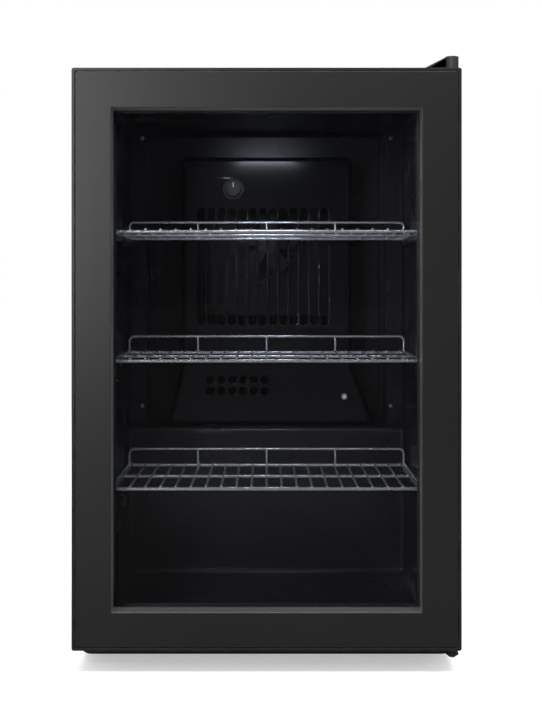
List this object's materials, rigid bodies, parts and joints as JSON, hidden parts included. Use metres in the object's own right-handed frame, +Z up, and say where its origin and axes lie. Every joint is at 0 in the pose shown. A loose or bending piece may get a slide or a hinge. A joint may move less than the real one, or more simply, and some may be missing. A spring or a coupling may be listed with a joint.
{
  "type": "mini fridge",
  "caption": "Under-counter glass-door beverage cooler: satin black framed door hinged on the right, chrome wire shelves, black liner, fan-cooled rear duct and rear condenser.",
  "frame": {"origin": "on the floor, under the centre of the overall box", "axes": "+X to the right seen from the front, -Y out of the front (the door opens towards -Y), +Z up"},
  "size_m": [0.53, 0.53, 0.845],
  "materials": {
    "black_paint": "satin",
    "door_paint": "satin",
    "grey_bezel": "satin",
    "liner_plastic": "satin",
    "black_plastic": "matte",
    "chrome_wire": "polished",
    "zinc_steel": "satin",
    "copper_pipe": "satin",
    "aluminium_fins": "satin",
    "rubber_seal": "matte",
    "foam": "matte",
    "white_plastic": "satin",
    "clear_glass": "gloss",
    "lamp_diffuser": "gloss"
  },
  "bodies": {
    "cabinet": {"outer_shell": "black_paint", "back_panel": "black_paint", "base_rail": "black_paint", "compressor": "black_paint", "condenser_tube": "black_paint", "condenser_wires": "black_paint", "lower_hinge_bracket": "black_paint", "lower_hinge_pin": "black_paint", "fan_bracket": "black_paint", "drain_trough": "black_plastic", "base_pan": "zinc_steel", "bay_lining": "zinc_steel", "upper_hinge_bracket": "zinc_steel", "upper_hinge_pin": "zinc_steel", "insulation_foam": "foam", "inner_liner": "liner_plastic", "right_corner_pillar": "liner_plastic", "left_corner_pillar": "liner_plastic", "evaporator_cover": "liner_plastic", "lamp_housing": "liner_plastic", "bay_cover": "black_plastic", "fan_motor": "black_plastic", "start_relay": "black_plastic", "drain_pan": "black_plastic", "light_switch_housing": "black_plastic", "upper_hinge_cover": "black_plastic", "rear_left_foot": "black_plastic", "rear_right_foot": "black_plastic", "cord_entry_bush": "rubber_seal", "compressor_grommet_1": "rubber_seal", "compressor_grommet_2": "rubber_seal", "compressor_grommet_3": "rubber_seal", "compressor_grommet_4": "rubber_seal", "evaporator_coil": "aluminium_fins", "drain_tube": "white_plastic", "temperature_probe": "white_plastic", "thermostat_body": "white_plastic", "led_board": "white_plastic", "lamp_lens": "lamp_diffuser", "suction_pipe": "copper_pipe", "filter_drier": "copper_pipe"},
    "door": {"door_frame": "door_paint", "door_front_panel": "door_paint", "window_bezel": "grey_bezel", "outer_glass": "clear_glass", "glass_spacer": "aluminium_fins", "inner_glass": "clear_glass", "glass_retainer": "black_plastic", "door_gasket": "rubber_seal", "upper_hinge_bush": "white_plastic", "lower_hinge_bush": "white_plastic"},
    "fan": {"evaporator_fan": "black_plastic"},
    "thermostat_knob": {"thermostat_knob": "black_plastic"},
    "light_rocker": {"light_switch_rocker": "black_plastic"},
    "upper_shelf": {"upper_shelf": "chrome_wire"},
    "middle_shelf": {"middle_shelf": "chrome_wire"},
    "lower_shelf": {"lower_shelf": "chrome_wire"},
    "front_left_foot": {"front_left_foot": "black_plastic"},
    "front_right_foot": {"front_right_foot": "black_plastic"}
  },
  "joints": [
    {"name": "door_hinge", "type": "hinge", "parent": "cabinet", "child": "door", "pos_m": [0.2555, -0.24, 0.43], "axis": [0, 0, 1], "range_deg": [0, 115]},
    {"name": "fan_spin", "type": "hinge", "parent": "cabinet", "child": "fan", "pos_m": [0, 0.137, 0.6], "axis": [0, 1, 0], "continuous": true},
    {"name": "thermostat_turn", "type": "hinge", "parent": "cabinet", "child": "thermostat_knob", "pos_m": [-0.055, 0.095, 0.69], "axis": [0, -1, 0], "range_deg": [-135, 135]},
    {"name": "light_rocker_tilt", "type": "hinge", "parent": "cabinet", "child": "light_rocker", "pos_m": [0.223, -0.184, 0.752], "axis": [0, 1, 0], "range_deg": [-8, 8]},
    {"name": "upper_shelf_slide", "type": "slide", "parent": "cabinet", "child": "upper_shelf", "axis": [0, -1, 0], "range_m": [0, 0.01]},
    {"name": "middle_shelf_slide", "type": "slide", "parent": "cabinet", "child": "middle_shelf", "axis": [0, -1, 0], "range_m": [0, 0.01]},
    {"name": "lower_shelf_slide", "type": "slide", "parent": "cabinet", "child": "lower_shelf", "axis": [0, -1, 0], "range_m": [0, 0.01]},
    {"name": "front_left_foot_turn", "type": "hinge", "parent": "cabinet", "child": "front_left_foot", "pos_m": [-0.22, -0.14, 0.01], "axis": [0, 0, 1], "range_deg": [-1080, 1080]},
    {"name": "front_right_foot_turn", "type": "hinge", "parent": "cabinet", "child": "front_right_foot", "pos_m": [0.22, -0.14, 0.01], "axis": [0, 0, 1], "range_deg": [-1080, 1080]}
  ]
}
